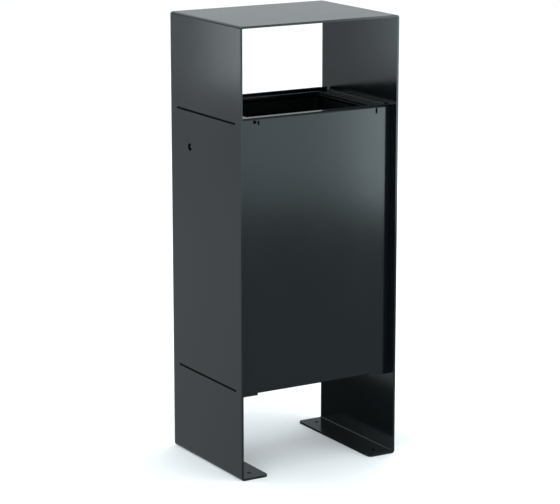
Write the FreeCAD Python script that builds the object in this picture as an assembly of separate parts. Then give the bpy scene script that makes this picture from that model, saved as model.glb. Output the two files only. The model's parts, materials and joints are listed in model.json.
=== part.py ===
import FreeCAD, Part
import math
import os

# Ashtray bin: a bent plate frame on two feet, with a litter liner behind a fixed front panel, a side-hung
# rear door with a quarter-turn lock, and an ash tray beside the mouth.
# Millimetres. +Z up, front towards -Y, origin on the floor under the middle of the frame.

Vector = FreeCAD.Vector

# Frame
WIDTH = 400.0
DEPTH = 310.0
HEIGHT = 1000.0
PLATE = 5.0
PLATE_BEND = 1.5
FOOT_WIDTH = 68.0
FOOT_CORNER = 10.0
FOOT_HOLE_D = 10.0
FOOT_HOLE_FROM_SIDE = 36.0
FOOT_HOLE_FROM_END = 32.0

# Slots in the frame's sides, the shelves whose tongues sit in them, and the rubber seals over the tongues
LOWER_SLOT_Z = 200.0
UPPER_SLOT_Z = 790.0
SLOT_HEIGHT = 5.0
SLOT_FROM_FRONT = 23.0
SLOT_FROM_BACK = 27.0
SHELF = 4.0
TONGUE_RECESS = 4.0
SEAL_RECESS = 1.5
SHELF_SIDE_GAP = 0.5

# Slot ends are rounded by this share of half their width
SLOT_END_SHARE = 0.999

# Points closer than this are the same point
SAME_POINT = 1e-6

# Sheet metal of the housing
SHEET = 2.0
SHEET_BEND = 1.0
SETBACK = 22.0
PANEL_SIDE_GAP = 0.8
PANEL_TO_SHELF = 0.5

# Front panel
RIM_ABOVE_SLOT = 9.0
PANEL_BELOW_SLOT = 13.0
PANEL_BEND = 2.5
FLANGE_DEPTH = 19.0
TAB_DROP = 3.5
TAB_WIDTH = 48.0
HOOK_SLIT_WIDTH = 4.6
HOOK_SLIT_DEPTH = 16.0
HOOK_NOTCH_WIDTH = 8.0
HOOK_NOTCH_DEPTH = 12.0
HOOK_WEB = 3.0
HOOK_RELIEF = 12.0
HOOK_RELIEF_SIDE = 1.0

# Mouth and liner
MOUTH_LEFT_LEDGE = 54.0
MOUTH_RIGHT_LEDGE = 40.0
MOUTH_FRONT_BORDER = 19.5
MOUTH_BACK_BORDER = 17.5
MOUTH_CORNER = 8.0
LINER_WALL = 1.2
LINER_OUTSIDE_MOUTH = 2.0
LINER_TOP_GAP = 3.0
LINER_CORNER = 12.0
GRIP_WIDTH = 90.0
GRIP_HEIGHT = 24.0
GRIP_FROM_TOP = 26.0
GUIDE_GAP = 1.0
GUIDE_HEIGHT = 14.0
DRAIN_D = 10.0
DRAIN_SPACING_X = 160.0
DRAIN_SPACING_Y = 120.0

# Rear rail
RAIL_WIDTH = 15.0
RAIL_TOP_ABOVE_SLOT = 8.0
RAIL_SIDE_GAP = 4.0
RAIL_LIP = 6.5
RAIL_FULL_BEFORE_PIVOT = 16.0

# Ash tray and its stub plate
TRAY_WALL = 1.5
TRAY_BESIDE_MOUTH = 5.0
TRAY_SIDE_GAP = 1.0
TRAY_RIM_OUT = 3.0
TRAY_RIM_HEIGHT = 4.5
TRAY_DEPTH = 72.0
TRAY_BACK_GAP = 2.5
TRAY_WALL_STRIP = 3.0
TRAY_RIM_TO_WALL = 2.0
STUB_PLATE = 1.5
STUB_EDGE_GAP = 0.5
STUB_LIP = 3.0
STUB_SLOT_WIDTH = 4.0
STUB_SLOT_LENGTH = 30.0
STUB_SLOT_PITCH = 36.0
STUB_ROWS = 2
STUB_ROW_PITCH = 13.0

# Rear door
DOOR_SIDE_GAP = 3.0
DOOR_TO_SHELF = 4.0
DOOR_BELOW_SHELF = 10.0
DOOR_FLANGE = 13.0
DOOR_LATCH_FLANGE = 30.0
DOOR_BEHIND_SHELF = 2.5
PIVOT_FROM_EDGE = 8.0
PIVOT_FROM_OUTSIDE = 6.5
BAND_FROM_PIVOT = 8.5
STIFFENER_WIDTH = 70.0
STIFFENER_DEPTH = 10.0
STIFFENER_LIP = 14.0
STIFFENER_END_GAP = 40.0

# Pivots
PIN_D = 5.0
PIN_HEAD_D = 10.0
PIN_HEAD = 2.0
PIN_REACH = 10.0
RUNNING = 0.05
FIXED_FIT = 0.02
BUSH_D = 8.0
BUSH_FLANGE_D = 12.0
BUSH_LENGTH = 6.0
BUSH_GAP = 0.15
PIVOT_TAB_HALF = 6.0
PIVOT_TAB_BEHIND = 4.5

# Lock
LOCK_FROM_BACK = 85.0
LOCK_BELOW_SLOT = 81.0
KEY_HOLE_D = 17.0
BARREL_D = 16.0
BARREL_HEAD_D = 20.0
BARREL_HEAD = 3.0
BARREL_LENGTH = 13.0
BRACKET_STANDOFF = 6.0
BRACKET_WIDTH = 44.0
BRACKET_HEIGHT = 50.0
BRACKET_FOOT = 12.0
LOCK_NUT_AF = 22.0
LOCK_NUT = 4.0
ROTOR_D = 10.0
KEY_SIDE = 7.5
KEY_RECESS = 3.0
SQUARE = 7.0
SQUARE_GAP = 0.1
CAM = 3.0
CAM_ARM = 16.0
CAM_SLOT_GAP = 1.3
CAM_NOSE = 6.0
CAM_CORNER = 2.0
CAM_BELOW_PIN = 8.0
CAM_ABOVE_PIN = 8.0
STRIKE_D = 6.0
STRIKE_PAST_CAM = 2.0
STRIKE_FROM_FLANGE_EDGE = 9.0
CAM_SCREW_D = 4.0
CAM_SCREW_LENGTH = 9.0
CAM_SCREW_HEAD_D = 8.0
CAM_SCREW_HEAD = 3.0
CAM_WASHER_D = 13.0
CAM_WASHER = 1.0
WASHER_HOLE_GAP = 0.08

# Front panel fixings
CLIP_LEG = 23.0
CLIP_HEIGHT = 40.0
CLIP_FROM_SHELF = 60.0
STUD_D = 5.0
STUD_LENGTH = 12.0
STUD_HOLE_GAP = 0.08
NUT_AF = 8.0
NUT = 4.0

# Rubber buffers behind the door
BUFFER_D = 5.0
BUFFER_FROM_SIDE = 24.0
BUFFER_GAP = 0.3

# Places that follow from the sizes above
INSIDE_X = WIDTH / 2 - PLATE
FRONT_FACE = -DEPTH / 2 + SETBACK
REAR_FACE = DEPTH / 2 - SETBACK
SHELF_FRONT = FRONT_FACE + SHEET + PANEL_TO_SHELF
SHELF_REAR = REAR_FACE - SHEET - DOOR_BEHIND_SHELF
LOWER_SHELF_BOTTOM = LOWER_SLOT_Z - SHELF / 2
LOWER_SHELF_TOP = LOWER_SLOT_Z + SHELF / 2
UPPER_SHELF_BOTTOM = UPPER_SLOT_Z - SHELF / 2
UPPER_SHELF_TOP = UPPER_SLOT_Z + SHELF / 2
RIM_Z = UPPER_SLOT_Z + RIM_ABOVE_SLOT
RAIL_TOP = UPPER_SLOT_Z + RAIL_TOP_ABOVE_SLOT
PANEL_BOTTOM = LOWER_SLOT_Z - PANEL_BELOW_SLOT
MOUTH_X0 = -INSIDE_X + MOUTH_LEFT_LEDGE
MOUTH_X1 = INSIDE_X - MOUTH_RIGHT_LEDGE
MOUTH_Y0 = SHELF_FRONT + MOUTH_FRONT_BORDER
MOUTH_Y1 = SHELF_REAR - MOUTH_BACK_BORDER
TRAY_X0 = MOUTH_X1 + TRAY_BESIDE_MOUTH + TRAY_SIDE_GAP
TRAY_X1 = INSIDE_X - TRAY_WALL_STRIP - TRAY_SIDE_GAP
TRAY_Y0 = MOUTH_Y0
TRAY_Y1 = MOUTH_Y1 - TRAY_BACK_GAP
TRAY_RIM_Z = UPPER_SHELF_TOP + TRAY_RIM_HEIGHT
PIVOT_X = INSIDE_X - DOOR_SIDE_GAP - PIVOT_FROM_EDGE
PIVOT_Y = REAR_FACE - PIVOT_FROM_OUTSIDE
DOOR_X0 = -INSIDE_X + DOOR_SIDE_GAP
DOOR_X1 = INSIDE_X - DOOR_SIDE_GAP
DOOR_BAND_X1 = PIVOT_X - BAND_FROM_PIVOT
DOOR_Z0 = LOWER_SHELF_TOP + DOOR_TO_SHELF
DOOR_Z1 = UPPER_SHELF_BOTTOM - DOOR_TO_SHELF
DOOR_TOP = RAIL_TOP + RAIL_LIP
DOOR_BOTTOM = LOWER_SHELF_BOTTOM - DOOR_BELOW_SHELF
LOCK_Y = DEPTH / 2 - LOCK_FROM_BACK
LOCK_Z = UPPER_SLOT_Z - LOCK_BELOW_SLOT
STRIKE_Y = REAR_FACE - DOOR_LATCH_FLANGE + STRIKE_FROM_FLANGE_EDGE
BARREL_FACE_X = -INSIDE_X + BRACKET_STANDOFF - BARREL_HEAD
CAM_X = BARREL_FACE_X + BARREL_HEAD + BARREL_LENGTH
CLIP_ZS = (LOWER_SHELF_TOP + CLIP_FROM_SHELF, UPPER_SHELF_BOTTOM - CLIP_FROM_SHELF - CLIP_HEIGHT / 2)


def block(x0, x1, y0, y1, z0, z1):
    return Part.makeBox(x1 - x0, y1 - y0, z1 - z0, Vector(x0, y0, z0))


def rod(diameter, start, direction, length):
    return Part.makeCylinder(diameter / 2, length, Vector(*start), Vector(*direction))


def rounded_wire(points, radii):
    """Closed wire through flat (u, v) points, each corner rounded to its own radius."""
    edges = []
    count = len(points)
    arcs = []
    for i, (point, radius) in enumerate(zip(points, radii)):
        before = Vector(*points[i - 1], 0) - Vector(*point, 0)
        after = Vector(*points[(i + 1) % count], 0) - Vector(*point, 0)
        corner = Vector(*point, 0)
        if radius <= 0:
            arcs.append((corner, None, corner))
            continue
        before.normalize()
        after.normalize()
        half = before.getAngle(after) / 2
        inward = before + after
        inward.normalize()
        reach = radius / math.tan(half)
        middle = corner + inward * (radius / math.sin(half) - radius)
        arcs.append((corner + before * reach, middle, corner + after * reach))
    for i, (start, middle, end) in enumerate(arcs):
        if middle is not None:
            edges.append(Part.Arc(start, middle, end).toShape())
        following = arcs[(i + 1) % count][0]
        if end.distanceToPoint(following) > SAME_POINT:
            edges.append(Part.makeLine(end, following))
    return Part.Wire(edges)


def prism(points, radii, plane, start, length):
    """Extrudes a rounded outline: plane xy runs along Z, xz along Y, yz along X."""
    face = Part.Face(rounded_wire(points, radii))
    if plane == "xy":
        face.translate(Vector(0, 0, start))
        return face.extrude(Vector(0, 0, length))
    if plane == "xz":
        face.rotate(Vector(0, 0, 0), Vector(1, 0, 0), 90)
        face.translate(Vector(0, start, 0))
        return face.extrude(Vector(0, length, 0))
    face.rotate(Vector(0, 0, 0), Vector(1, 1, 1), 120)
    face.translate(Vector(start, 0, 0))
    return face.extrude(Vector(length, 0, 0))


def folded(path, thickness, bend, plane, start, length):
    """A sheet folded along a path of straight runs; the metal lies to the right of the path."""
    normals = []
    for (u0, v0), (u1, v1) in zip(path, path[1:]):
        run = math.hypot(u1 - u0, v1 - v0)
        normals.append(((v1 - v0) / run, -(u1 - u0) / run))
    near = list(path)
    far = []
    near_radii = [0.0]
    far_radii = [0.0]
    far.append((path[0][0] + normals[0][0] * thickness, path[0][1] + normals[0][1] * thickness))
    for i in range(1, len(path) - 1):
        (a0, a1), (b0, b1) = normals[i - 1], normals[i]
        share = thickness / (1 + a0 * b0 + a1 * b1)
        far.append((path[i][0] + (a0 + b0) * share, path[i][1] + (a1 + b1) * share))
        turns_right = a0 * b1 - a1 * b0 < 0
        near_radii.append(bend + thickness if turns_right else bend)
        far_radii.append(bend if turns_right else bend + thickness)
    far.append((path[-1][0] + normals[-1][0] * thickness, path[-1][1] + normals[-1][1] * thickness))
    near_radii.append(0.0)
    far_radii.append(0.0)
    outline = near + far[::-1]
    return prism(outline, near_radii + far_radii[::-1], plane, start, length)


def rounded_block(x0, x1, y0, y1, z0, z1, radius):
    """Block with its four upright edges rounded."""
    corners = [(x0, y0), (x1, y0), (x1, y1), (x0, y1)]
    return prism(corners, [radius] * 4, "xy", z0, z1 - z0)


def slot_block(x0, x1, y0, y1, z0, z1, plane):
    """Block whose outline in the plane ends in half circles along its longer side."""
    if plane == "xy":
        radius = min(x1 - x0, y1 - y0) / 2 * SLOT_END_SHARE
        return rounded_block(x0, x1, y0, y1, z0, z1, radius)
    if plane == "yz":
        radius = min(y1 - y0, z1 - z0) / 2 * SLOT_END_SHARE
        return prism([(y0, z0), (y1, z0), (y1, z1), (y0, z1)], [radius] * 4, "yz", x0, x1 - x0)
    radius = min(x1 - x0, z1 - z0) / 2 * SLOT_END_SHARE
    return prism([(x0, z0), (x1, z0), (x1, z1), (x0, z1)], [radius] * 4, "xz", y0, y1 - y0)


def hexagon(across_flats, start, direction, length):
    """Hexagonal bar."""
    reach = across_flats / math.sqrt(3)
    corners = [Vector(reach * math.cos(k * math.pi / 3), reach * math.sin(k * math.pi / 3), 0) for k in range(7)]
    face = Part.Face(Part.makePolygon(corners))
    bar = face.extrude(Vector(0, 0, length))
    bar.Placement = FreeCAD.Placement(Vector(*start), FreeCAD.Rotation(Vector(0, 0, 1), Vector(*direction)))
    return bar


def outer_frame():
    half = WIDTH / 2
    toe = half - FOOT_WIDTH
    path = [(-toe, 0), (-half, 0), (-half, HEIGHT), (half, HEIGHT), (half, 0), (toe, 0)]
    frame = folded(path, PLATE, PLATE_BEND, "xz", -DEPTH / 2, DEPTH)
    for side in (-1, 1):
        for end in (-1, 1):
            corner_x, corner_y = side * toe, end * DEPTH / 2
            square = block(
                min(corner_x, corner_x + side * FOOT_CORNER), max(corner_x, corner_x + side * FOOT_CORNER),
                min(corner_y, corner_y - end * FOOT_CORNER), max(corner_y, corner_y - end * FOOT_CORNER),
                0, PLATE)
            centre = (corner_x + side * FOOT_CORNER, corner_y - end * FOOT_CORNER, 0)
            frame = frame.cut(square.cut(rod(2 * FOOT_CORNER, centre, (0, 0, 1), PLATE)))
            hole_x = side * (half - FOOT_HOLE_FROM_SIDE)
            hole_y = end * (DEPTH / 2 - FOOT_HOLE_FROM_END)
            frame = frame.cut(rod(FOOT_HOLE_D, (hole_x, hole_y, 0), (0, 0, 1), PLATE))
    for slot_z in (LOWER_SLOT_Z, UPPER_SLOT_Z):
        frame = frame.cut(slot_block(
            -half, half, -DEPTH / 2 + SLOT_FROM_FRONT, DEPTH / 2 - SLOT_FROM_BACK,
            slot_z - SLOT_HEIGHT / 2, slot_z + SLOT_HEIGHT / 2, "yz"))
    return frame.cut(rod(KEY_HOLE_D, (-half, LOCK_Y, LOCK_Z), (1, 0, 0), PLATE))


def slot_seals():
    """Rubber strips pressed into the slots against the ends of the tongues."""
    seals = []
    for slot_z in (LOWER_SLOT_Z, UPPER_SLOT_Z):
        for side in (-1, 1):
            ends = (side * (WIDTH / 2 - TONGUE_RECESS), side * (WIDTH / 2 - SEAL_RECESS))
            seals.append(slot_block(
                min(ends), max(ends), -DEPTH / 2 + SLOT_FROM_FRONT, DEPTH / 2 - SLOT_FROM_BACK,
                slot_z - SLOT_HEIGHT / 2, slot_z + SLOT_HEIGHT / 2, "yz"))
    return seals


def shelf_blank(bottom):
    """Shelf plate between the sides, with a tongue in each slot and a tab round the door's pivot."""
    reach = INSIDE_X - SHELF_SIDE_GAP
    plate = block(-reach, reach, SHELF_FRONT, SHELF_REAR, bottom, bottom + SHELF)
    tongue_x = WIDTH / 2 - TONGUE_RECESS
    tongue_gap = (SLOT_HEIGHT - SHELF) / 2
    tongue_y0 = -DEPTH / 2 + SLOT_FROM_FRONT + tongue_gap
    tongue_y1 = DEPTH / 2 - SLOT_FROM_BACK - tongue_gap
    plate = plate.fuse(slot_block(-tongue_x, tongue_x, max(tongue_y0, SHELF_FRONT), min(tongue_y1, SHELF_REAR),
                                  bottom, bottom + SHELF, "yz"))
    tab = rounded_block(PIVOT_X - PIVOT_TAB_HALF, PIVOT_X + PIVOT_TAB_HALF, SHELF_REAR - PIVOT_TAB_HALF,
                        PIVOT_Y + PIVOT_TAB_BEHIND, bottom, bottom + SHELF, SHEET)
    plate = plate.fuse(tab)
    return plate.cut(rod(PIN_D + 2 * FIXED_FIT, (PIVOT_X, PIVOT_Y, bottom), (0, 0, 1), SHELF)).removeSplitter()


def top_shelf():
    plate = shelf_blank(UPPER_SHELF_BOTTOM)
    mouth = rounded_block(MOUTH_X0, MOUTH_X1, MOUTH_Y0, MOUTH_Y1, UPPER_SHELF_BOTTOM, UPPER_SHELF_TOP,
                          MOUTH_CORNER)
    tray_hole = block(TRAY_X0 - TRAY_SIDE_GAP, TRAY_X1 + TRAY_SIDE_GAP, TRAY_Y0 - TRAY_SIDE_GAP,
                      TRAY_Y1 + TRAY_SIDE_GAP, UPPER_SHELF_BOTTOM, UPPER_SHELF_TOP)
    plate = plate.cut(mouth).cut(tray_hole)
    for x0, x1, _ in hook_cuts():
        plate = plate.cut(block(x0 - HOOK_RELIEF_SIDE, x1 + HOOK_RELIEF_SIDE, SHELF_FRONT,
                                SHELF_FRONT + HOOK_RELIEF, UPPER_SHELF_BOTTOM, UPPER_SHELF_TOP))
    return plate


def bottom_shelf():
    plate = shelf_blank(LOWER_SHELF_BOTTOM)
    flange = block(DOOR_X0, PIVOT_X - BAND_FROM_PIVOT, SHELF_REAR - SHEET, SHELF_REAR, DOOR_BOTTOM,
                   LOWER_SHELF_BOTTOM)
    plate = plate.fuse(flange)
    centre_x = (MOUTH_X0 + MOUTH_X1) / 2
    for side_x in (-1, 1):
        for side_y in (-1, 1):
            spot = (centre_x + side_x * DRAIN_SPACING_X / 2, side_y * DRAIN_SPACING_Y / 2, LOWER_SHELF_BOTTOM)
            plate = plate.cut(rod(DRAIN_D, spot, (0, 0, 1), SHELF))
    return plate


def hook_cuts():
    """Start, end and depth below the rim of the two hook slits and the notch beside the left one."""
    notch_x1 = MOUTH_X0 - HOOK_SLIT_WIDTH - HOOK_WEB
    return [(MOUTH_X0 - HOOK_SLIT_WIDTH, MOUTH_X0, HOOK_SLIT_DEPTH),
            (MOUTH_X1, MOUTH_X1 + HOOK_SLIT_WIDTH, HOOK_SLIT_DEPTH),
            (notch_x1 - HOOK_NOTCH_WIDTH, notch_x1, HOOK_NOTCH_DEPTH)]


def front_panel():
    reach = INSIDE_X - PANEL_SIDE_GAP
    inner = FRONT_FACE + FLANGE_DEPTH
    split = PANEL_BOTTOM + FLANGE_DEPTH
    half = reach - TAB_WIDTH
    top_path = [(FRONT_FACE, split), (FRONT_FACE, RIM_Z), (inner, RIM_Z)]
    low_path = [(inner, PANEL_BOTTOM), (FRONT_FACE, PANEL_BOTTOM), (FRONT_FACE, split)]
    panel = folded(top_path, SHEET, PANEL_BEND, "yz", -reach, 2 * reach)
    panel = panel.fuse(folded(low_path, SHEET, PANEL_BEND, "yz", -half, 2 * half))
    for x0, x1 in ((-reach, -half), (half, reach)):
        panel = panel.fuse(block(x0, x1, FRONT_FACE, FRONT_FACE + SHEET, PANEL_BOTTOM - TAB_DROP, split))
    for x0, x1, depth in hook_cuts():
        panel = panel.cut(block(x0, x1, FRONT_FACE, FRONT_FACE + SHEET, RIM_Z - depth, RIM_Z - SHEET - PANEL_BEND))
    return panel.removeSplitter()


def mirrored_clips():
    """L-shaped clips in the four corners behind the front panel."""
    clips = []
    for z in CLIP_ZS:
        for side in (-1, 1):
            wall = side * INSIDE_X
            back = FRONT_FACE + SHEET
            path = [(wall, back + CLIP_LEG), (wall, back), (wall - side * CLIP_LEG, back)]
            if side < 0:
                path = path[::-1]
            clip = folded(path, SHEET, SHEET_BEND, "xy", z - CLIP_HEIGHT / 2, CLIP_HEIGHT)
            clips.append(clip.cut(rod(STUD_D + STUD_HOLE_GAP, (stud_x(side), back, z), (0, 1, 0), SHEET)))
    return clips


def stud_x(side):
    return side * (INSIDE_X - CLIP_LEG / 2)


def panel_studs():
    back = FRONT_FACE + SHEET
    return [rod(STUD_D, (stud_x(side), back, z), (0, 1, 0), STUD_LENGTH) for z in CLIP_ZS for side in (-1, 1)]


def panel_nuts():
    nuts = []
    seat = FRONT_FACE + 2 * SHEET
    for z in CLIP_ZS:
        for side in (-1, 1):
            nut = hexagon(NUT_AF, (stud_x(side), seat, z), (0, 1, 0), NUT)
            nuts.append(nut.cut(rod(STUD_D + STUD_HOLE_GAP, (stud_x(side), seat, z), (0, 1, 0), NUT)))
    return nuts


def rear_rail():
    """Folded strip along the back of the mouth, with an upright lip; it bridges the door's upper pivot."""
    x0 = -INSIDE_X + RAIL_SIDE_GAP
    x1 = INSIDE_X - RAIL_SIDE_GAP
    front = SHELF_REAR - RAIL_WIDTH
    path = [(front, UPPER_SHELF_TOP), (front, RAIL_TOP), (SHELF_REAR, RAIL_TOP)]
    rail = folded(path, SHEET, SHEET_BEND, "yz", x0, x1 - x0)
    lip_top = RAIL_TOP + RAIL_LIP
    web_x1 = PIVOT_X - RAIL_FULL_BEFORE_PIVOT
    rail = rail.fuse(block(x0, web_x1, SHELF_REAR - SHEET, SHELF_REAR, UPPER_SHELF_TOP, lip_top))
    return rail.fuse(block(web_x1, x1, SHELF_REAR - SHEET, SHELF_REAR, RAIL_TOP - SHEET, lip_top)).removeSplitter()


def liner():
    x0 = MOUTH_X0 - LINER_OUTSIDE_MOUTH
    x1 = MOUTH_X1 + LINER_OUTSIDE_MOUTH
    y0 = MOUTH_Y0 - LINER_OUTSIDE_MOUTH
    y1 = MOUTH_Y1 + LINER_OUTSIDE_MOUTH
    z0 = LOWER_SHELF_TOP
    z1 = UPPER_SHELF_BOTTOM - LINER_TOP_GAP
    wall = LINER_WALL
    shell = rounded_block(x0, x1, y0, y1, z0, z1, LINER_CORNER)
    hollow = rounded_block(x0 + wall, x1 - wall, y0 + wall, y1 - wall, z0 + wall, z1, LINER_CORNER - wall)
    middle = (x0 + x1) / 2
    grip_z1 = z1 - GRIP_FROM_TOP
    grips = slot_block(middle - GRIP_WIDTH / 2, middle + GRIP_WIDTH / 2, y0, y1, grip_z1 - GRIP_HEIGHT, grip_z1,
                       "xz")
    return shell.cut(hollow).cut(grips)


def liner_guides():
    x0 = MOUTH_X0 - LINER_OUTSIDE_MOUTH - GUIDE_GAP
    x1 = MOUTH_X1 + LINER_OUTSIDE_MOUTH + GUIDE_GAP
    z1 = LOWER_SHELF_TOP + GUIDE_HEIGHT
    left = block(x0 - SHEET, x0, MOUTH_Y0, MOUTH_Y1, LOWER_SHELF_TOP, z1)
    right = block(x1, x1 + SHEET, MOUTH_Y0, MOUTH_Y1, LOWER_SHELF_TOP, z1)
    return [left, right]


def ash_tray():
    wall = TRAY_WALL
    z0 = TRAY_RIM_Z - TRAY_DEPTH
    rim_x0, rim_x1 = TRAY_X0 - TRAY_RIM_OUT, INSIDE_X - TRAY_RIM_TO_WALL
    rim_y0, rim_y1 = TRAY_Y0 - TRAY_RIM_OUT, TRAY_Y1 + TRAY_RIM_OUT
    rim = block(rim_x0, rim_x1, rim_y0, rim_y1, UPPER_SHELF_TOP, TRAY_RIM_Z)
    under = block(rim_x0 + wall, rim_x1 - wall, rim_y0 + wall, rim_y1 - wall, UPPER_SHELF_TOP, TRAY_RIM_Z - wall)
    box = block(TRAY_X0, TRAY_X1, TRAY_Y0, TRAY_Y1, z0, TRAY_RIM_Z)
    hollow = block(TRAY_X0 + wall, TRAY_X1 - wall, TRAY_Y0 + wall, TRAY_Y1 - wall, z0 + wall, TRAY_RIM_Z)
    return rim.cut(under).fuse(box).cut(hollow).removeSplitter()


def stub_plate():
    x0 = TRAY_X0 - TRAY_RIM_OUT + STUB_EDGE_GAP
    x1 = INSIDE_X - TRAY_RIM_TO_WALL - STUB_EDGE_GAP
    y0 = TRAY_Y0 - TRAY_RIM_OUT + STUB_EDGE_GAP
    y1 = TRAY_Y1 + TRAY_RIM_OUT - STUB_EDGE_GAP
    top = TRAY_RIM_Z + STUB_PLATE
    path = [(x0, top), (x1 - STUB_PLATE, top), (x1 - STUB_PLATE, top + STUB_LIP)]
    plate = folded(path, STUB_PLATE, STUB_PLATE / 2, "xz", y0, y1 - y0)
    centre_x = (TRAY_X0 + TRAY_X1) / 2
    usable = TRAY_Y1 - TRAY_Y0 - 2 * TRAY_WALL
    count = int((usable - STUB_SLOT_LENGTH) // STUB_SLOT_PITCH) + 1
    first_y = (TRAY_Y0 + TRAY_Y1) / 2 - (count - 1) * STUB_SLOT_PITCH / 2
    for row in range(STUB_ROWS):
        x = centre_x + (row - (STUB_ROWS - 1) / 2) * STUB_ROW_PITCH
        for k in range(count):
            y = first_y + k * STUB_SLOT_PITCH
            plate = plate.cut(slot_block(x - STUB_SLOT_WIDTH / 2, x + STUB_SLOT_WIDTH / 2, y - STUB_SLOT_LENGTH / 2,
                                         y + STUB_SLOT_LENGTH / 2, TRAY_RIM_Z, top, "xy"))
    return plate


def rear_door():
    inside = REAR_FACE - SHEET
    latch_edge = REAR_FACE - DOOR_LATCH_FLANGE
    hinge_edge = REAR_FACE - DOOR_FLANGE
    path = [(DOOR_X0, latch_edge), (DOOR_X0, REAR_FACE), (DOOR_X1, REAR_FACE), (DOOR_X1, hinge_edge)]
    door = folded(path, SHEET, SHEET_BEND, "xy", DOOR_Z0, DOOR_Z1 - DOOR_Z0)
    for z0, z1 in ((DOOR_Z1, DOOR_TOP), (DOOR_BOTTOM, DOOR_Z0)):
        door = door.fuse(block(DOOR_X0 + SHEET_BEND + SHEET, DOOR_BAND_X1, inside, REAR_FACE, z0, z1))
    for z0 in (DOOR_Z0, DOOR_Z1 - SHEET):
        flange = block(DOOR_X0 + SHEET, DOOR_X1 - SHEET, hinge_edge, inside, z0, z0 + SHEET)
        door = door.fuse(flange)
        door = door.cut(rod(BUSH_D + 2 * FIXED_FIT, (PIVOT_X, PIVOT_Y, z0), (0, 0, 1), SHEET))
    strike = rod(STRIKE_D + 2 * FIXED_FIT, (DOOR_X0, STRIKE_Y, LOCK_Z), (1, 0, 0), SHEET)
    return door.cut(strike).removeSplitter()


def door_stiffener():
    inside = REAR_FACE - SHEET
    crown = inside - STIFFENER_DEPTH
    half = STIFFENER_WIDTH / 2
    path = [(half + STIFFENER_LIP, inside - SHEET), (half, inside - SHEET), (half, crown), (-half, crown),
            (-half, inside - SHEET), (-half - STIFFENER_LIP, inside - SHEET)]
    z0 = DOOR_Z0 + STIFFENER_END_GAP
    z1 = DOOR_Z1 - STIFFENER_END_GAP
    return folded(path, SHEET, SHEET_BEND, "xy", z0, z1 - z0)


def strike_pin():
    x1 = CAM_X + CAM + STRIKE_PAST_CAM
    return rod(STRIKE_D, (DOOR_X0, STRIKE_Y, LOCK_Z), (1, 0, 0), x1 - DOOR_X0)


def pivot_pin(shelf_near, head_side):
    """Pin held in a shelf; head_side is +1 with its head above the shelf, -1 with it below."""
    seat = shelf_near + (SHELF if head_side > 0 else 0)
    length = SHELF + DOOR_TO_SHELF + PIN_REACH
    shank = rod(PIN_D, (PIVOT_X, PIVOT_Y, seat), (0, 0, -head_side), length)
    return shank.fuse(rod(PIN_HEAD_D, (PIVOT_X, PIVOT_Y, seat), (0, 0, head_side), PIN_HEAD)).removeSplitter()


def pivot_bush(flange_face, shelf_side):
    """Flanged bush in a door flange; shelf_side is +1 when the shelf lies above it."""
    collar = rod(BUSH_FLANGE_D, (PIVOT_X, PIVOT_Y, flange_face), (0, 0, shelf_side), DOOR_TO_SHELF - BUSH_GAP)
    sleeve = rod(BUSH_D, (PIVOT_X, PIVOT_Y, flange_face), (0, 0, -shelf_side), BUSH_LENGTH)
    bore_start = (PIVOT_X, PIVOT_Y, flange_face - shelf_side * BUSH_LENGTH)
    bore = rod(PIN_D + 2 * RUNNING, bore_start, (0, 0, shelf_side), BUSH_LENGTH + DOOR_TO_SHELF)
    return collar.fuse(sleeve).cut(bore).removeSplitter()


def lock_bracket():
    wall = -INSIDE_X
    seat = wall + BRACKET_STANDOFF
    z0, z1 = LOCK_Z - BRACKET_HEIGHT / 2, LOCK_Z + BRACKET_HEIGHT / 2
    path = [(wall + SHEET, z0 - BRACKET_FOOT), (wall + SHEET, z0), (seat + SHEET, z0), (seat + SHEET, z1),
            (wall + SHEET, z1), (wall + SHEET, z1 + BRACKET_FOOT)]
    bracket = folded([(x, z) for x, z in path[::-1]], SHEET, SHEET_BEND, "xz", LOCK_Y - BRACKET_WIDTH / 2,
                     BRACKET_WIDTH)
    return bracket.cut(rod(BARREL_D + STUD_HOLE_GAP, (seat, LOCK_Y, LOCK_Z), (1, 0, 0), SHEET))


def lock_barrel():
    head = rod(BARREL_HEAD_D, (BARREL_FACE_X, LOCK_Y, LOCK_Z), (1, 0, 0), BARREL_HEAD)
    body = rod(BARREL_D, (BARREL_FACE_X, LOCK_Y, LOCK_Z), (1, 0, 0), BARREL_HEAD + BARREL_LENGTH - RUNNING)
    bore = rod(ROTOR_D + 2 * RUNNING, (BARREL_FACE_X, LOCK_Y, LOCK_Z), (1, 0, 0), BARREL_HEAD + BARREL_LENGTH)
    return head.fuse(body).cut(bore).removeSplitter()


def lock_nut():
    seat = BARREL_FACE_X + BARREL_HEAD + SHEET
    nut = hexagon(LOCK_NUT_AF, (seat, LOCK_Y, LOCK_Z), (1, 0, 0), LOCK_NUT)
    return nut.cut(rod(BARREL_D + STUD_HOLE_GAP, (seat, LOCK_Y, LOCK_Z), (1, 0, 0), LOCK_NUT))


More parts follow.
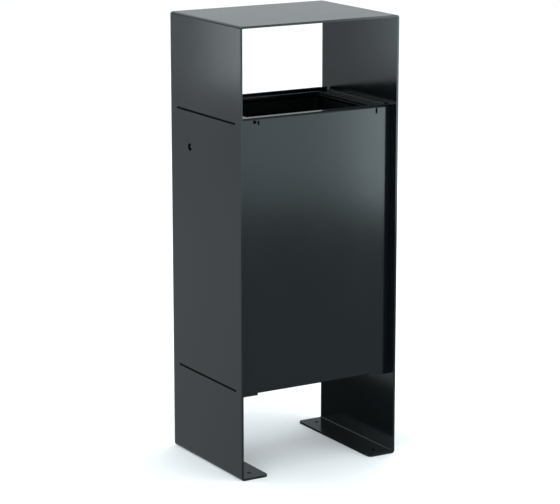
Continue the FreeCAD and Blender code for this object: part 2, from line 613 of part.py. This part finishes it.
def lock_rotor():
    """Spindle with a three-sided key stud in front and a square seat for the cam behind."""
    spindle = rod(ROTOR_D, (BARREL_FACE_X, LOCK_Y, LOCK_Z), (1, 0, 0), BARREL_HEAD + BARREL_LENGTH)
    reach = KEY_SIDE / math.sqrt(3)
    corners = []
    for k in range(3):
        angle = math.pi / 2 + k * 2 * math.pi / 3
        corners.append((LOCK_Y + reach * math.cos(angle), LOCK_Z + reach * math.sin(angle)))
    key_x = -WIDTH / 2 + KEY_RECESS
    stud = prism(corners, [0.0] * 3, "yz", key_x, BARREL_FACE_X - key_x + RUNNING)
    half = SQUARE / 2
    square = block(CAM_X, CAM_X + CAM - SQUARE_GAP, LOCK_Y - half, LOCK_Y + half, LOCK_Z - half, LOCK_Z + half)
    tapped = rod(CAM_SCREW_D + 2 * FIXED_FIT, (CAM_X + CAM - CAM_SCREW_LENGTH, LOCK_Y, LOCK_Z), (1, 0, 0),
                 CAM_SCREW_LENGTH)
    return spindle.fuse(stud).fuse(square).cut(tapped).removeSplitter()


def lock_cam():
    """Hook cam, unlocked with its arm hanging down; a quarter turn brings its slot round the strike pin."""
    reach = STRIKE_Y - LOCK_Y
    slot_in = reach - STRIKE_D / 2 - CAM_SLOT_GAP
    slot_out = reach + STRIKE_D / 2 + CAM_SLOT_GAP
    tip = slot_out + CAM_NOSE
    half = CAM_ARM / 2
    arm = block(0, CAM, 0, tip, -half, half)
    hub = rod(CAM_ARM, (0, 0, 0), (1, 0, 0), CAM)
    hook = prism([(slot_in - CAM_NOSE, -CAM_BELOW_PIN - CAM_NOSE / 2), (tip, -CAM_BELOW_PIN - CAM_NOSE / 2),
                  (tip, CAM_ABOVE_PIN), (slot_in - CAM_NOSE, CAM_ABOVE_PIN)], [CAM_CORNER] * 4, "yz", 0, CAM)
    cam = hub.fuse(arm).fuse(hook)
    ring = rod(2 * slot_out, (0, 0, 0), (1, 0, 0), CAM).cut(rod(2 * slot_in, (0, 0, 0), (1, 0, 0), CAM))
    floor_z = -STRIKE_D / 2 - CAM_SLOT_GAP
    ring = ring.common(block(0, CAM, 0, tip, floor_z, tip))
    cam = cam.cut(ring)
    seat = SQUARE / 2 + SQUARE_GAP / 2
    cam = cam.cut(block(0, CAM, -seat, seat, -seat, seat)).removeSplitter()
    cam.rotate(Vector(0, 0, 0), Vector(1, 0, 0), -90)
    cam.translate(Vector(CAM_X, LOCK_Y, LOCK_Z))
    return cam


def cam_washer():
    start = (CAM_X + CAM, LOCK_Y, LOCK_Z)
    washer = rod(CAM_WASHER_D, start, (1, 0, 0), CAM_WASHER)
    return washer.cut(rod(CAM_SCREW_D + WASHER_HOLE_GAP, start, (1, 0, 0), CAM_WASHER))


def cam_screw():
    seat = CAM_X + CAM + CAM_WASHER
    head = hexagon(CAM_SCREW_HEAD_D, (seat, LOCK_Y, LOCK_Z), (1, 0, 0), CAM_SCREW_HEAD)
    shank = rod(CAM_SCREW_D, (seat, LOCK_Y, LOCK_Z), (-1, 0, 0), CAM_SCREW_LENGTH)
    return head.fuse(shank).removeSplitter()


def door_buffers():
    thickness = DOOR_BEHIND_SHELF - BUFFER_GAP
    buffers = []
    for x in (DOOR_X0 + BUFFER_FROM_SIDE, DOOR_BAND_X1 - BUFFER_FROM_SIDE):
        for z in ((RAIL_TOP + UPPER_SHELF_TOP) / 2, (DOOR_BOTTOM + LOWER_SHELF_BOTTOM) / 2):
            buffers.append(rod(BUFFER_D, (x, SHELF_REAR, z), (0, 1, 0), thickness))
    return buffers


def save(name, pieces):
    shape = pieces if isinstance(pieces, Part.Shape) else Part.makeCompound(pieces)
    shape.exportStep(os.path.join("parts", name + ".step"))


os.makedirs("parts", exist_ok=True)
save("outer_frame", outer_frame())
save("top_shelf", top_shelf())
save("bottom_shelf", bottom_shelf())
save("front_panel", front_panel())
save("front_panel_clips", mirrored_clips())
save("panel_studs", panel_studs())
save("panel_nuts", panel_nuts())
save("rear_rail", rear_rail())
save("liner", liner())
save("liner_guides", liner_guides())
save("ash_tray", ash_tray())
save("stub_plate", stub_plate())
save("rear_door", rear_door())
save("door_stiffener", door_stiffener())
save("strike_pin", strike_pin())
save("upper_pivot_pin", pivot_pin(UPPER_SHELF_BOTTOM, 1))
save("lower_pivot_pin", pivot_pin(LOWER_SHELF_BOTTOM, -1))
save("upper_bush", pivot_bush(DOOR_Z1, 1))
save("lower_bush", pivot_bush(DOOR_Z0, -1))
save("lock_bracket", lock_bracket())
save("lock_barrel", lock_barrel())
save("lock_nut", lock_nut())
save("lock_rotor", lock_rotor())
save("lock_cam", lock_cam())
save("cam_washer", cam_washer())
save("cam_screw", cam_screw())
save("door_buffers", door_buffers())
save("slot_seals", slot_seals())
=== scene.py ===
import json
import math

import bmesh
import bpy
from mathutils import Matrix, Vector

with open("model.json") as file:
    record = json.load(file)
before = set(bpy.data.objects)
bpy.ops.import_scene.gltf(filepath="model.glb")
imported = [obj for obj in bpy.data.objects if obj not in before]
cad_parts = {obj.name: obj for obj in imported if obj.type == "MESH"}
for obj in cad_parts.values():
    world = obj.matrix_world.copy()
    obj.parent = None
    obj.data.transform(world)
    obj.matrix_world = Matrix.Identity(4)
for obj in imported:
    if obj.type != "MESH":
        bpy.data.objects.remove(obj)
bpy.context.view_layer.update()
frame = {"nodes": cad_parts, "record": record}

# Ashtray bin: a material for each slot of the record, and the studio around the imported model.
# Metres, in the CAD frame: +Z up, front towards -Y, origin on the floor. It adds no piece to the object.

NODES = frame["nodes"]
RECORD = frame["record"]


# ---------------------------------------------------------------- node helpers
class Nodes:
    """Adds shader nodes to one material with little text."""

    def __init__(self, name):
        self.material = bpy.data.materials.new(name)
        self.material.use_nodes = True
        self.tree = self.material.node_tree
        self.shader = self.tree.nodes["Principled BSDF"]

    def add(self, kind, **values):
        node = self.tree.nodes.new(kind)
        for key, value in values.items():
            if hasattr(node, key):
                setattr(node, key, value)
            else:
                node.inputs[key.replace("_", " ")].default_value = value
        return node

    def link(self, start, end):
        self.tree.links.new(start, end)

    def position(self):
        """Object coordinates in metres: the CAD frame itself, the same on every piece."""
        return self.add("ShaderNodeTexCoord").outputs["Object"]

    def noise(self, scale, detail, roughness, stretch=None):
        noise = self.add("ShaderNodeTexNoise", Scale=scale, Detail=detail, Roughness=roughness)
        if stretch is None:
            self.link(self.position(), noise.inputs["Vector"])
        else:
            mapping = self.add("ShaderNodeMapping")
            mapping.inputs["Scale"].default_value = stretch
            self.link(self.position(), mapping.inputs["Vector"])
            self.link(mapping.outputs["Vector"], noise.inputs["Vector"])
        return noise.outputs["Fac"]

    def span(self, value, source, target):
        """Maps a value from the source range to the target range, and keeps it inside."""
        node = self.add("ShaderNodeMapRange")
        names = ("From Min", "From Max", "To Min", "To Max")
        for name, number in zip(names, (*source, *target)):
            node.inputs[name].default_value = number
        self.link(value, node.inputs["Value"])
        return node.outputs["Result"]

    def mix(self, factor):
        node = self.add("ShaderNodeMix", data_type="RGBA")
        self.link(factor, node.inputs["Factor"])
        return node

    def blend(self, factor, low, high):
        node = self.mix(factor)
        node.inputs["A"].default_value = (*low, 1)
        node.inputs["B"].default_value = (*high, 1)
        return node.outputs["Result"]

    def math(self, operation, first, second):
        node = self.add("ShaderNodeMath", operation=operation)
        for slot, value in enumerate((first, second)):
            if isinstance(value, (int, float)):
                node.inputs[slot].default_value = value
            else:
                self.link(value, node.inputs[slot])
        return node.outputs[0]

    def bump(self, height, strength, distance, normal=None):
        node = self.add("ShaderNodeBump", Strength=strength, Distance=distance)
        self.link(height, node.inputs["Height"])
        if normal is not None:
            self.link(normal, node.inputs["Normal"])
        self.link(node.outputs["Normal"], self.shader.inputs["Normal"])

    def set(self, **values):
        for key, value in values.items():
            self.shader.inputs[key.replace("_", " ")].default_value = value


# ---------------------------------------------------------------- materials
FULL = (0, 1)
NOISE_BODY = (0.3, 0.7)            # where most of a noise's values lie

# Powder coat: noise scales per metre, and how much each noise counts
DRIFT_SCALE = 3.0
DRIFT_SHARE = 0.7
SPECK_SCALE = 420.0
SPECK_BODY = (0.35, 0.65)
SPECK_SHARE = 0.3
WIPE_SCALE = 26.0
WIPE_BODY = (0.35, 0.75)
WIPE_ROUGHNESS = 0.02
ROUGHNESS_DRIFT = 0.015
FINE_PEEL_SCALE = 1100.0
FINE_PEEL_SHARE = 0.35
BROAD_PEEL_SCALE = 420.0
PEEL_HEIGHT = 0.0003
BEVEL_SAMPLES = 4
EDGE_TURN = (0.98, 0.72)           # cosine between rounded and true normal: edge lightening begins, full lightening (rubbed wear and painted highlight)
COAT_SPECULAR = 0.2
COAT_SPECULAR_TINT = (0.86, 0.97, 1.0, 1)

# Plated steel
ZINC_CLOUD_SCALE = 120.0
BRUSH_SCALE = 700.0
BRUSH_STRETCH = (1.0, 1.0, 0.08)
BRUSH_ROUGHNESS = (0.26, 0.42)
BRUSH_STRENGTH = 0.15
BRUSH_HEIGHT = 0.0002

# Plastic and rubber
MATT_CLOUD_SCALE = 60.0
MATT_ROUGHNESS_DRIFT = 0.05
GRAIN_STRENGTH = 0.2
GRAIN_HEIGHT = 0.0003


def around(middle, reach):
    return middle - reach, middle + reach


def powder_coat(name, dark, light, roughness, peel=0.01, edge=0.0005, rub_and_highlight=3.2):
    """Semi-gloss powder coat: fine orange peel, slow colour drift, softly rounded edges painted lighter,
    partly as slight rubbed wear and partly as a painted edge highlight.

    edge is the radius in metres that the edges are shaded to; the last argument is how many times lighter
    the edges are painted, for rubbed wear and a painted highlight.
    """
    m = Nodes(name)
    drift = m.noise(DRIFT_SCALE, 3.0, 0.5)
    speck = m.noise(SPECK_SCALE, 3.0, 0.6)
    tone = m.math("ADD", m.span(drift, NOISE_BODY, (0, DRIFT_SHARE)),
                  m.span(speck, SPECK_BODY, (0, SPECK_SHARE)))
    coat = m.blend(tone, dark, light)

    rounded = m.add("ShaderNodeBevel", Radius=edge)
    rounded.samples = BEVEL_SAMPLES
    true_normal = m.add("ShaderNodeNewGeometry").outputs["Normal"]
    facing = m.add("ShaderNodeVectorMath", operation="DOT_PRODUCT")
    m.link(rounded.outputs["Normal"], facing.inputs[0])
    m.link(true_normal, facing.inputs[1])
    # Edges painted lighter: partly rubbed wear, partly a painted edge highlight.
    edge_wear_and_highlight = m.mix(m.span(facing.outputs["Value"], EDGE_TURN, FULL))
    m.link(coat, edge_wear_and_highlight.inputs["A"])
    edge_wear_and_highlight.inputs["B"].default_value = (*(rub_and_highlight * c for c in light), 1)
    m.link(edge_wear_and_highlight.outputs["Result"], m.shader.inputs["Base Color"])

    wipe = m.noise(WIPE_SCALE, 5.0, 0.6)
    rough = m.math("ADD", m.span(drift, NOISE_BODY, around(roughness, ROUGHNESS_DRIFT)),
                   m.span(wipe, WIPE_BODY, (0, WIPE_ROUGHNESS)))
    m.link(rough, m.shader.inputs["Roughness"])

    fine = m.noise(FINE_PEEL_SCALE, 2.0, 0.5)
    broad = m.noise(BROAD_PEEL_SCALE, 1.0, 0.4)
    height = m.math("ADD", m.math("MULTIPLY", fine, FINE_PEEL_SHARE), broad)
    m.bump(height, peel, PEEL_HEIGHT, normal=rounded.outputs["Normal"])
    m.set(Specular_IOR_Level=COAT_SPECULAR, Specular_Tint=COAT_SPECULAR_TINT)
    return m.material


def plated(name, dark, light):
    """Plated steel: brushed, slightly clouded."""
    m = Nodes(name)
    cloud = m.noise(ZINC_CLOUD_SCALE, 4.0, 0.6)
    m.link(m.blend(m.span(cloud, NOISE_BODY, FULL), dark, light), m.shader.inputs["Base Color"])
    brush = m.noise(BRUSH_SCALE, 2.0, 0.5, stretch=BRUSH_STRETCH)
    m.link(m.span(brush, NOISE_BODY, BRUSH_ROUGHNESS), m.shader.inputs["Roughness"])
    m.bump(brush, BRUSH_STRENGTH, BRUSH_HEIGHT)
    m.set(Metallic=1.0)
    return m.material


def matt(name, dark, light, roughness, grain, gloss):
    """Moulded plastic or rubber: fine grain and a slightly clouded tone."""
    m = Nodes(name)
    cloud = m.noise(MATT_CLOUD_SCALE, 3.0, 0.5)
    m.link(m.blend(m.span(cloud, NOISE_BODY, FULL), dark, light), m.shader.inputs["Base Color"])
    m.link(m.span(cloud, NOISE_BODY, around(roughness, MATT_ROUGHNESS_DRIFT)), m.shader.inputs["Roughness"])
    m.bump(m.noise(grain, 2.0, 0.5), GRAIN_STRENGTH, GRAIN_HEIGHT)
    m.set(Specular_IOR_Level=gloss)
    return m.material


BY_SLOT = {
    "powder_coat": powder_coat("powder_coat", (0.0022, 0.0032, 0.0036), (0.0030, 0.0042, 0.0048), 0.14),
    # The tray's edges are painted fourteen times lighter: mostly a painted highlight along its edge lines,
    # slightly rubbed wear.
    "tray_coat": powder_coat("tray_coat", (0.0016, 0.0027, 0.0031), (0.0022, 0.0036, 0.0041), 0.12,
                             edge=0.0007, rub_and_highlight=14.0),
    "liner_coat": powder_coat("liner_coat", (0.0012, 0.0013, 0.0014), (0.0020, 0.0021, 0.0022), 0.45,
                              peel=0.03),
    "zinc_steel": plated("zinc_steel", (0.42, 0.43, 0.45), (0.60, 0.61, 0.60)),
    "black_nickel": plated("black_nickel", (0.030, 0.030, 0.033), (0.060, 0.060, 0.064)),
    "bearing_plastic": matt("bearing_plastic", (0.020, 0.020, 0.021), (0.032, 0.032, 0.033), 0.5,
                            grain=1400.0, gloss=0.2),
    # Rubber: partly its own black, partly painted shade. It is near black with almost no gloss so that the
    # slot seals read as the shade inside the slots.
    "rubber": matt("rubber", (0.0016, 0.0018, 0.0019), (0.0030, 0.0033, 0.0035), 0.9,
                   grain=1800.0, gloss=0.03),
}

for part in RECORD["subparts"]:
    mesh = NODES[part["node"]].data
    mesh.materials.clear()
    mesh.materials.append(BY_SLOT[part["material_slot"]])


# ---------------------------------------------------------------- camera
CAMERA_YAW = math.radians(30.8)
CAMERA_PITCH = math.radians(13.0)
CAMERA_DISTANCE = 5.21
CAMERA_LENS = 149.2
CAMERA_SENSOR = 36.0
CAMERA_AIM_RIGHT = -0.0091
CAMERA_AIM_HEIGHT = 0.462

# Level directions as seen from the camera: away from it, and to its right
FORWARD = Vector((math.sin(CAMERA_YAW), math.cos(CAMERA_YAW), 0))
RIGHT = Vector((math.cos(CAMERA_YAW), -math.sin(CAMERA_YAW), 0))


def studio_camera():
    level = math.cos(CAMERA_PITCH)
    view = Vector((math.sin(CAMERA_YAW) * level, math.cos(CAMERA_YAW) * level, -math.sin(CAMERA_PITCH)))
    data = bpy.data.cameras.new("studio_camera")
    data.sensor_width = CAMERA_SENSOR
    data.lens = CAMERA_LENS
    camera = bpy.data.objects.new("studio_camera", data)
    bpy.context.scene.collection.objects.link(camera)
    camera.location = Vector((0, 0, CAMERA_AIM_HEIGHT)) + RIGHT * CAMERA_AIM_RIGHT - view * CAMERA_DISTANCE
    camera.rotation_mode = "QUATERNION"
    camera.rotation_quaternion = view.to_track_quat("-Z", "Y")
    bpy.context.scene.camera = camera


# ---------------------------------------------------------------- surround
# Brightness by how far up a direction points: -1 is straight down, 1 straight up
SKY = ((-1.0, 0.5), (-0.45, 0.7), (-0.30, 0.9), (-0.22, 1.05), (-0.18, 0.9), (0.0, 0.75), (0.15, 0.75),
       (0.28, 0.4), (0.6, 0.4), (1.0, 0.5))
SKY_TINT = (0.91, 0.97, 1.0)
SKY_TOP = 2.0                      # the ramp holds brightness over this, so that it stays under 1


def studio_world():
    """Soft studio surround: brightness by height only."""
    world = bpy.data.worlds.new("studio_world")
    world.use_nodes = True
    nodes, links = world.node_tree.nodes, world.node_tree.links
    direction = nodes.new("ShaderNodeTexCoord")
    split = nodes.new("ShaderNodeSeparateXYZ")
    height = nodes.new("ShaderNodeMapRange")
    height.inputs["From Min"].default_value = -1
    ramp = nodes.new("ShaderNodeValToRGB")
    steps = ramp.color_ramp.elements
    for place, _ in SKY[1:-1]:
        steps.new((place + 1) / 2)
    for step, (place, level) in zip(steps, SKY):
        step.position = (place + 1) / 2
        step.color = (*(level / SKY_TOP * tint for tint in SKY_TINT), 1)
    background = nodes["Background"]
    background.inputs["Strength"].default_value = SKY_TOP
    links.new(direction.outputs["Generated"], split.inputs[0])
    links.new(split.outputs["Z"], height.inputs["Value"])
    links.new(height.outputs["Result"], ramp.inputs["Fac"])
    links.new(ramp.outputs["Color"], background.inputs["Color"])
    bpy.context.scene.world = world


# ---------------------------------------------------------------- floor and card
STAGE_CLOUD_SCALE = 1.3
STAGE_CLOUD_DARKER = 0.985
STAGE_SPECULAR = 0.3
FLOOR_REACH = 30.0
FLOOR_STEPS = 12
FLOOR_COLOUR = (0.95, 0.95, 0.95)
FLOOR_ROUGHNESS = 0.6
CARD_REACH = 0.5
CARD_STEPS = 6
CARD_STRETCH = (0.42, 1.1)
CARD_PLACE = (0.09, 0.42, 0.0005)
CARD_COLOUR = (0.02, 0.02, 0.02)
CARD_ROUGHNESS = 0.9


def stage_material(name, colour, roughness):
    m = Nodes(name)
    cloud = m.noise(STAGE_CLOUD_SCALE, 3.0, 0.5)
    low = tuple(c * STAGE_CLOUD_DARKER for c in colour)
    m.link(m.blend(cloud, low, colour), m.shader.inputs["Base Color"])
    m.set(Roughness=roughness, Specular_IOR_Level=STAGE_SPECULAR)
    return m.material


def stage_sheet(name, steps, reach, material, stretch=(1, 1), place=(0, 0, 0)):
    """A flat level sheet that isn't part of the object."""
    mesh = bpy.data.meshes.new(name)
    work = bmesh.new()
    bmesh.ops.create_grid(work, x_segments=steps, y_segments=steps, size=reach)
    for vertex in work.verts:
        vertex.co.x = place[0] + vertex.co.x * stretch[0]
        vertex.co.y = place[1] + vertex.co.y * stretch[1]
        vertex.co.z = place[2]
    work.to_mesh(mesh)
    work.free()
    sheet = bpy.data.objects.new(name, mesh)
    bpy.context.scene.collection.objects.link(sheet)
    mesh.materials.append(material)
    return sheet


def studio_floor():
    """Pale floor, wide enough to fill the view behind the object. The gloss doesn't mirror it."""
    floor = stage_sheet("studio_floor", FLOOR_STEPS, FLOOR_REACH,
                        stage_material("studio_white", FLOOR_COLOUR, FLOOR_ROUGHNESS))
    floor.visible_glossy = False


def shadow_card():
    """Dark patch under and behind the object, seen only in its gloss: the shaded floor between the legs."""
    card = stage_sheet("shadow_card", CARD_STEPS, CARD_REACH,
                       stage_material("card_black", CARD_COLOUR, CARD_ROUGHNESS), CARD_STRETCH, CARD_PLACE)
    card.visible_camera = card.visible_diffuse = card.visible_shadow = False


# ---------------------------------------------------------------- lights
LIGHT_COLOUR = (0.90, 0.97, 1.0)


def placed(right, forward, height):
    """A point given from the camera's side of the object: right, away from the camera, up."""
    return RIGHT * right + FORWARD * forward + Vector((0, 0, height))


# Name, size, place, the point it faces, power in watts
LIGHTS = (
    ("overhead", (26.0, 26.0), (0, 0, 6.0), (0, 0, 0), 2250),
    ("front_right_panel", (1.3, 0.9), (1.81, -1.83, 0.46), (-0.64, -1.08, 0.5), 33),
    ("front_panel", (1.3, 1.0), (1.09, -2.72, 0.52), (0, 0, 0.6), 13),
    ("back_left_panel", (1.4, 1.2), (-2.42, 2.52, 0.92), (0, 0, 0.9), 19),
    ("front_left_panel", (1.3, 0.9), (-1.81, -1.83, 0.50), (0.64, -1.08, 0.5), 33),
    ("far_right_panel", (1.2, 1.2), (2.95, 1.75, 0.92), (0, 0, 0.9), 9),
    ("back_right_panel", (2.2, 1.6), placed(1.7, 3.6, 1.6), (0, 0, 1.0), 29),
)


def area_light(name, size, place, target, power):
    light = bpy.data.lights.new(name, "AREA")
    light.shape = "RECTANGLE"
    light.size, light.size_y = size
    light.energy = power
    light.color = LIGHT_COLOUR
    lamp = bpy.data.objects.new(name, light)
    bpy.context.scene.collection.objects.link(lamp)
    lamp.visible_camera = False
    lamp.location = place
    lamp.rotation_mode = "QUATERNION"
    lamp.rotation_quaternion = (Vector(target) - Vector(place)).to_track_quat("-Z", "Y")


studio_camera()
studio_world()
studio_floor()
shadow_card()
for row in LIGHTS:
    area_light(*row)

bpy.context.scene.view_settings.view_transform = "Standard"
